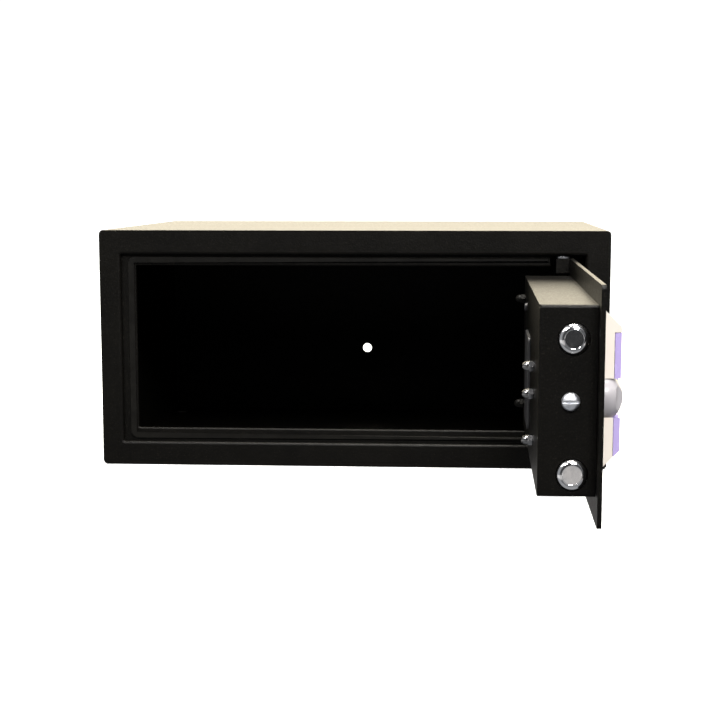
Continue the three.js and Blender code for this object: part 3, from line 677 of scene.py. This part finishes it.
panel_x, housing_y, panel_z = door_box("panel_housing")
_, front_y, _ = door_box("panel_front")
KEYS = {name: door_box(name) for name in frame["nodes"] if name.startswith("key_")}
display_x, display_y, display_z = door_box("display_window")
_, cover_y, _ = door_box("keyhole_cover")
PIVOT = (LOCK[0], middle(door_box("cover_screw")[2]))
# the upright foot of the panel's side, and the height where the cream hood starts
UPRIGHT = 1.7
HOOD = 144
KNOB_WELL, LOCK_WELL, PIVOT_HOLE, KEY_SLACK = 15.6, 9.7, 1.8, 0.4
DISPLAY_LEDGE = 1.7
DOME = 11.5


def panel_section(y_inner, y_outer):
    """The panel's section: upright foot, then 45 degree slopes up to the front."""
    foot = housing_y[1] - UPRIGHT
    slope = lambda y: max(0.0, foot - y)
    levels = [y_inner, foot, y_outer] if y_inner > foot else [y_inner, y_outer]
    lower = [(y, panel_z[0] + slope(y)) for y in levels]
    upper = [(y, panel_z[1] - slope(y)) for y in reversed(levels)]
    return lower + upper


def panel_openings():
    through = (front_y[0] - 1, housing_y[1] + 1)
    tools = [rod("y", *KNOB, KNOB_WELL, through, sides=72), rod("y", *LOCK, LOCK_WELL, through, sides=64),
             rod("y", *PIVOT, PIVOT_HOLE, through)]
    for x, _, z in KEYS.values():
        tools.append(prism(rounded_rectangle(inner(x, -KEY_SLACK), inner(z, -KEY_SLACK), 2.8), through, "y"))
    return tools


def beside_hood(z):
    """A cutter as wide as the panel between two heights."""
    return block(inner(panel_x, -2), (front_y[0] - 2, housing_y[1] + 2), z)


def display_opening(depth):
    return block(inner(display_x, DISPLAY_LEDGE), depth, inner(display_z, DISPLAY_LEDGE))


def housing():
    """The cream body, with the hood above the fascia that reaches right to the front."""
    split = front_y[1] + 0.3
    body = prism(panel_section(housing_y[1], split), panel_x, "x")
    hood = prism(panel_section(split + 1, front_y[0]), panel_x, "x")
    solid = join(body, cut(hood, beside_hood((0, HOOD + 0.15))))
    room = block((panel_x[0] + 28, panel_x[1] - 2.5), (split + 2.35, housing_y[1] + 1), inner(panel_z, 9))
    window = display_opening((front_y[0] - 1, housing_y[1] + 1))
    return ease(cut(solid, room, window, *panel_openings()), 0.5, 3)


def fascia():
    """The lavender face below the hood."""
    solid = cut(prism(panel_section(front_y[1], front_y[0]), panel_x, "x"), beside_hood((HOOD - 0.15, 200)))
    seat = prism(rounded_rectangle(inner(display_x, -0.3), inner(display_z, -0.3), 0.6),
                 (front_y[0] - 1, front_y[0] + 2), "y")
    window = display_opening((front_y[0] - 1, front_y[1] + 1))
    return ease(cut(solid, seat, window, *panel_openings()), 0.35, 3)


def key_cap(box):
    """A key with rounded shoulders and a shallow dished top."""
    x, y, z = box
    outline = rounded_rectangle(x, z, 2.5, 8)
    cap = prism(outline, y, "y", 0.9, 0, 4)
    shape = bmesh.new()
    shape.from_mesh(cap.data)
    top = min(shape.faces, key=lambda face: face.calc_center_median().y)
    for depth in (0.12, 0.22):
        bmesh.ops.inset_region(shape, faces=[top], thickness=1.5, depth=0)
        for vertex in top.verts:
            vertex.co.y += depth
    shape.to_mesh(cap.data)
    shape.free()
    return cap


def marking(text, x, z, y, size):
    """A numeral raised slightly from a surface that faces the door's outside."""
    curve = bpy.data.curves.new("numeral", "FONT")
    curve.body, curve.size, curve.extrude, curve.resolution_u = text, size, 0.06, 3
    curve.align_x, curve.align_y = "CENTER", "CENTER"
    made = bpy.data.objects.new("numeral", curve)
    bpy.context.scene.collection.objects.link(made)
    bpy.context.view_layer.update()
    mesh = bpy.data.meshes.new_from_object(made.evaluated_get(bpy.context.evaluated_depsgraph_get()))
    bpy.data.objects.remove(made)
    upright = Matrix(((1, 0, 0, x), (0, 0, -1, y), (0, 1, 0, z), (0, 0, 0, 1)))
    mesh.transform(upright)
    solid = bpy.data.objects.new("marking", mesh)
    bpy.context.scene.collection.objects.link(solid)
    return solid


def cross(x, z, y, reach, width):
    """A slanting cross, the mark of the clear key."""
    solids = []
    for turn in (45, -45):
        bar = block((-reach, reach), (y - 0.06, y + 0.06), (-width / 2, width / 2))
        bar.data.transform(Matrix.Translation((x, 0, z)) @ Matrix.Rotation(math.radians(turn), 4, "Y"))
        solids.append(bar)
    return join(*solids)


def padlock(x, z, y):
    """A plain padlock outline, the mark of the lock key."""
    depth = (y - 0.06, y + 0.06)
    body = prism(rounded_rectangle((x - 2.2, x + 2.2), (z - 2.6, z + 0.6), 0.5), depth, "y")
    ring = rod("y", x, z + 0.7, 1.7, depth, sides=32)
    hole = rod("y", x, z + 0.7, 0.95, (y - 1, y + 1), sides=32)
    return join(body, cut(ring, hole))


def turn_knob():
    """A domed knob with a grip across it between two finger scallops."""
    (x0, _), (y0, y1), _ = door_box("turn_knob")
    height = y1 - y0
    dome = arc(0, 0, 1, 0, 90, 14)
    profile = [(0, 0), (14.4, 0), (14.9, 0.4), (15, 1.2)]
    profile += [(15 * a, height - DOME + DOME * b) for a, b in dome[:-1]] + [(0, height)]
    body = turned(profile, (KNOB[0], y1, KNOB[1]), (0, -1, 0), 96)
    scallops = []
    for side in (-1, 1):
        start = (KNOB[0] + side * 13.2, y0 - 3.6, KNOB[1] - 20)
        scallops.append(turned([(0, 0), (9, 0), (9, 40), (0, 40)], start, (0, 0, 1), 72))
    bore = rod("y", *KNOB, 3.3, (y1 - 8.4, y1 + 1))
    return ease(cut(body, *scallops, bore), 0.8, 4, 28)


def hole_cover():
    """The swinging cover of the emergency keyhole."""
    disc = rod("y", *LOCK, 12, cover_y, 0, 72)
    neck = block((LOCK[0] - 5, LOCK[0] + 5), cover_y, (LOCK[1], PIVOT[1]))
    solid = join(disc, neck, rod("y", *PIVOT, 5, cover_y, 0, 48))
    rib = rod("y", LOCK[0], LOCK[1] - 1, 8.2, (cover_y[0] - 1, cover_y[0] + 0.35), 0, 64)
    return ease(cut(solid, rod("y", *PIVOT, PIVOT_HOLE, (cover_y[0] - 1, cover_y[1] + 1)), rib), 0.3, 3)


def pivot_screw():
    _, (y0, y1), _ = door_box("cover_screw")
    profile = [(0, 0), (1.4, 0.02), (2.4, 0.2), (3.0, 0.6), (3.2, 1.1), (3.1, 1.4), (1.5, 1.4)]
    profile += [(1.5, y1 - y0), (0, y1 - y0)]
    head = turned(profile, (PIVOT[0], y0, PIVOT[1]), (0, 1, 0), 40)
    slot = block((PIVOT[0] - 4, PIVOT[0] + 4), (y0 - 1, y0 + 0.7), (PIVOT[1] - 0.35, PIVOT[1] + 0.35))
    return cut(head, slot)


def key_barrel():
    _, (y0, y1), _ = door_box("lock_barrel")
    barrel = rod("y", *LOCK, 9.4, (y0, y1), 0.5, 72)
    return cut(barrel, rod("y", *LOCK, 5.5, (y0 - 1, y1 + 1), sides=48))


def key_plug():
    _, (y0, y1), _ = door_box("lock_plug")
    plug = rod("y", *LOCK, 5.2, (y0, y1), 0.4, 48)
    cam = block((LOCK[0] - 3.5, LOCK[0] + 3.5), (y1 - 2, y1), (LOCK[1] - 4, LOCK[1] + 8.5))
    keyway = block((LOCK[0] - 0.9, LOCK[0] + 0.9), (y0 - 1, y0 + 12), (LOCK[1] - 3.6, LOCK[1] + 3.6))
    return cut(join(plug, cam), keyway)


piece("keypad_housing", housing(), "door", "cream_plastic", ["panel_housing"])
piece("keypad_fascia", fascia(), "door", "lavender_plastic", ["panel_front"])
window = prism(rounded_rectangle(display_x, display_z, 0.5), display_y, "y", 0.3, 0)
piece("smoked_window", window, "door", "display_glass", ["display_window"])
piece("turning_knob", turn_knob(), "knob", "grey_plastic", ["turn_knob"])
piece("hole_cover_disc", hole_cover(), "hole_cover", "grey_plastic", ["keyhole_cover"])
piece("pivot_screw", pivot_screw(), "door", "chrome", ["cover_screw"])
piece("key_barrel", key_barrel(), "door", "steel", ["lock_barrel"])
piece("key_plug", key_plug(), "emergency_plug", "brass", ["lock_plug"])

for name, box in KEYS.items():
    x, y, z = box
    body = f"{name}_cap"
    cap = piece(f"{name}_top", key_cap(box), body, "grey_plastic", [name])
    face = y[0] + 0.34
    label = name[4:]
    if label == "clear":
        mark = cross(middle(x), middle(z), face, 3.0, 0.9)
    elif label == "lock":
        mark = padlock(middle(x), middle(z), face)
    else:
        mark = marking(label, middle(x), middle(z), face, 8.5)
    piece(f"{name}_mark", mark, body, "dark_plastic", material=INK)

# ---- battery box and reset button -----------------------------------------------------------


def battery_lid():
    """The sliding lid with raised grip ribs and a thumb scoop."""
    x, (y0, y1), z = door_box("battery_door")
    face = y1 - 0.6
    plate = prism(rounded_rectangle(x, z, 4), (y0, face), "y", 0.2, 0.6)
    scoop = turned([(0, 0), (16, 0), (16, 44), (0, 44)], (x[0] + 14, face + 15.2, z[0] + 12), (0, 0, 1), 96)
    plate = cut(plate, scoop)
    ribs = [prism(rounded_rectangle((x[0] + 8 + 4 * i, x[0] + 9.4 + 4 * i), inner(z, 20), 0.65),
                  (face - 1.2, y1 - 0.05), "y", 0, 0.4) for i in range(4)]
    return join(plate, *ribs)


def reset_plunger():
    x, (y0, y1), z = door_box("reset_button")
    height = y1 - y0
    profile = [(0, 0), (3.2, 0), (3.2, height - 0.7), (2.9, height - 0.25), (2.3, height)]
    profile += [(1.6, height - 0.15), (0, height - 0.3)]
    return turned(profile, (middle(x), y0, middle(z)), (0, 1, 0), 40)


def cell(name):
    """A dry cell: rolled-over wrap edges, a flat base and a raised positive nub."""
    x, y, z = door_box(name)
    radius, length = (y[1] - y[0]) / 2, x[1] - x[0]
    end = length - 1.2
    profile = [(0, 0.3), (4.6, 0.3), (4.9, 0), (radius - 0.5, 0), (radius, 0.5), (radius, end - 0.6)]
    profile += [(radius - 0.4, end - 0.1), (radius - 0.9, end), (3.1, end - 0.2), (2.6, end)]
    profile += [(2.6, length - 0.3), (2.3, length), (0, length)]
    forward = int(name[-1]) % 2 == 1
    start = (x[0] if forward else x[1], middle(y), middle(z))
    return turned(profile, start, (1 if forward else -1, 0, 0), 48), forward


piece("sliding_lid", battery_lid(), "battery_lid", "dark_plastic", ["battery_door"])
piece("reset_plunger", reset_plunger(), "reset", "dark_plastic", ["reset_button"])
for number in range(1, 5):
    solid, forward = cell(f"battery_{number}")
    shown = piece(f"dry_cell_{number}", solid, "door", "battery_wrap", [f"battery_{number}"])
    shown.data.materials.append(COPPER_WRAP.material)
    low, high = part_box(f"battery_{number}")
    for face in shown.data.polygons:
        along = (face.center.y - low.y) / (high.y - low.y)
        if (along if forward else 1 - along) > 0.72:
            face.material_index = 1

# ---- sheet parts and works with plain shapes ------------------------------------------------


def softened(node, width):
    """A node's own solid with its edges eased."""
    solid = bpy.data.objects.new("solid", frame["nodes"][node].data.copy())
    bpy.context.scene.collection.objects.link(solid)
    solid.data.transform(frame["nodes"][node].matrix_world)
    solid.data.transform(Matrix.Scale(1 / MM, 4))
    return ease(solid, width, 3)


SOFTENED = {
    "hinge_bracket_upper": ("cabinet", 0.4), "hinge_bracket_lower": ("cabinet", 0.4),
    "bolt_guide": ("door", 0.3), "solenoid_body": ("door", 0.5), "battery_holder": ("door", 0.3),
    "main_board": ("door", 0.15), "keypad_board": ("door", 0.15), "display_module": ("door", 0.3),
    "bolt_bar": ("bolt_carriage", 0.4), "upper_bolt_screw": ("bolt_carriage", 0.5),
    "lower_bolt_screw": ("bolt_carriage", 0.5), "knob_spindle": ("knob", 0.3),
    "solenoid_plunger": ("plunger", 0.4),
}
SLOTS = {row["node"]: row["material_slot"] for row in frame["record"]["subparts"]}
for node, (body, width) in SOFTENED.items():
    piece(f"{node}_eased", softened(node, width), body, SLOTS[node], [node], CABINET)

# ---- the CAD nodes that stay shown ----------------------------------------------------------

for node, slot_name in SLOTS.items():
    for slot in frame["nodes"][node].material_slots:
        slot.material = MATERIALS[slot_name].material

# ---- floor, light and camera ----------------------------------------------------------------

# the room's light by direction: a glow behind the object, the ground, and what is left everywhere
GLOW, GLOW_DEPTH, GLOW_RISE, GLOW_TOP = 5.4, (0.5, 0.8), (-0.02, 0.01), (0.6, 0.35)
SIDES, SIDES_FRONT, SIDES_BACK = 0.32, (-0.93, -0.6), (0.5, 0.25)
GROUND, GROUND_FALL, GROUND_END = 0.55, (-0.125, -0.165), (-0.45, -0.3)
ROOM = 0.035


def studio_world():
    """White for the camera; as light, a bright warm room behind the object and a dark one in front."""
    world = bpy.data.worlds.new("studio")
    bpy.context.scene.world = world
    world.use_nodes = True
    tree = world.node_tree
    tree.nodes.clear()
    new = tree.nodes.new

    def fade(value, low, high):
        made = new("ShaderNodeMapRange")
        made.interpolation_type = "SMOOTHSTEP"
        made.inputs["From Min"].default_value, made.inputs["From Max"].default_value = low, high
        tree.links.new(value, made.inputs["Value"])
        return made.outputs["Result"]

    def scaled(first, second):
        made = new("ShaderNodeMath")
        made.operation = "MULTIPLY"
        for socket, value in zip(made.inputs, (first, second)):
            if isinstance(value, float):
                socket.default_value = value
            else:
                tree.links.new(value, socket)
        return made.outputs["Value"]

    axes = new("ShaderNodeSeparateXYZ")
    tree.links.new(new("ShaderNodeTexCoord").outputs["Generated"], axes.inputs["Vector"])
    behind, up = axes.outputs["Y"], axes.outputs["Z"]
    glow = scaled(scaled(fade(behind, *GLOW_DEPTH), fade(up, *GLOW_RISE)), scaled(fade(up, *GLOW_TOP), GLOW))
    sides = scaled(scaled(fade(behind, *SIDES_FRONT), fade(behind, *SIDES_BACK)), SIDES)
    ground = scaled(scaled(fade(up, *GROUND_FALL), fade(up, *GROUND_END)), GROUND)
    parts = [((1.0, 0.90, 0.69), glow), ((0.96, 0.98, 1.0), sides), ((1.0, 0.96, 0.92), ground),
             ((0.94, 0.97, 1.0), ROOM)]
    total = None
    for colour, strength in parts:
        light = new("ShaderNodeBackground")
        light.inputs["Color"].default_value = (*colour, 1)
        if isinstance(strength, float):
            light.inputs["Strength"].default_value = strength
        else:
            tree.links.new(strength, light.inputs["Strength"])
        if total is None:
            total = light.outputs["Background"]
            continue
        added = new("ShaderNodeAddShader")
        tree.links.new(total, added.inputs[0])
        tree.links.new(light.outputs["Background"], added.inputs[1])
        total = added.outputs["Shader"]
    backdrop = new("ShaderNodeBackground")
    backdrop.inputs["Color"].default_value = (1, 1, 1, 1)
    backdrop.inputs["Strength"].default_value = 1.1
    mix = new("ShaderNodeMixShader")
    tree.links.new(new("ShaderNodeLightPath").outputs["Is Camera Ray"], mix.inputs["Fac"])
    tree.links.new(total, mix.inputs[1])
    tree.links.new(backdrop.outputs["Background"], mix.inputs[2])
    tree.links.new(mix.outputs["Shader"], new("ShaderNodeOutputWorld").inputs["Surface"])


def studio_floor():
    """A pale floor that the room's light doesn't bounce from."""
    bpy.ops.mesh.primitive_plane_add(size=60, location=(0, 0, -0.0005))
    floor = bpy.context.object
    floor.name = "studio_floor"
    floor.visible_diffuse = False
    floor.visible_glossy = False
    surface = bpy.data.materials.new("floor")
    surface.use_nodes = True
    shader = surface.node_tree.nodes["Principled BSDF"]
    shader.inputs["Base Color"].default_value = (0.85, 0.85, 0.85, 1)
    shader.inputs["Roughness"].default_value = 0.9
    shader.inputs["Specular IOR Level"].default_value = 0.0
    shader.inputs["Emission Color"].default_value = (1, 1, 1, 1)
    shader.inputs["Emission Strength"].default_value = 0.55
    floor.data.materials.append(surface)
    return floor


def softbox(name, location, target, size, power, colour=(1, 1, 1)):
    lamp = bpy.data.lights.new(name, "AREA")
    lamp.shape = "RECTANGLE"
    lamp.size, lamp.size_y = size
    lamp.energy = power
    lamp.color = colour
    made = bpy.data.objects.new(name, lamp)
    bpy.context.scene.collection.objects.link(made)
    made.location = location
    made.rotation_euler = (Vector(target) - Vector(location)).to_track_quat("-Z", "Y").to_euler()
    made.visible_camera = False
    return made


def floor_sun(floor):
    """A broad sun that only the floor receives, so that the floor is evenly white."""
    lamp = bpy.data.lights.new("floor_sun", "SUN")
    lamp.energy = 2.6
    lamp.angle = math.radians(70)
    made = bpy.data.objects.new("floor_sun", lamp)
    bpy.context.scene.collection.objects.link(made)
    made.rotation_euler = (math.radians(-12), math.radians(6), 0)
    only_floor = bpy.data.collections.new("floor_only")
    only_floor.objects.link(floor)
    made.light_linking.receiver_collection = only_floor


def camera():
    lens = bpy.data.cameras.new("camera")
    lens.sensor_width = 36
    lens.lens = 84.1
    lens.shift_y = 0.1
    lens.clip_start, lens.clip_end = 0.05, 200
    made = bpy.data.objects.new("camera", lens)
    bpy.context.scene.collection.objects.link(made)
    made.location = (0.1046, -1.5867, 0.2393)
    made.rotation_euler = (math.radians(90 - 8.42), 0, math.radians(3.98))
    bpy.context.scene.camera = made


studio_world()
floor_sun(studio_floor())
softbox("overhead", (0.1, -0.45, 1.9), (0.1, -0.35, 0.1), (0.9, 0.7), 90, (1.0, 0.95, 0.86))
softbox("upper_left", (-0.9, -0.85, 1.2), (0.19, -0.5, 0.1), (0.8, 0.8), 5, (1.0, 0.98, 0.95))
softbox("upper_right", (1.3, -0.85, 1.1), (0.19, -0.5, 0.1), (0.8, 0.8), 8, (0.98, 0.98, 1.0))
softbox("front_left", (-0.8, -1.9, 1.5), (0.1, -0.4, 0.1), (0.6, 0.6), 22, (1.0, 0.98, 0.97))
softbox("front_right", (0.5, -2.1, 1.45), (0.1, -0.4, 0.1), (0.6, 0.6), 56, (1.0, 0.98, 0.97))
camera()
bpy.context.scene.view_settings.view_transform = "Standard"
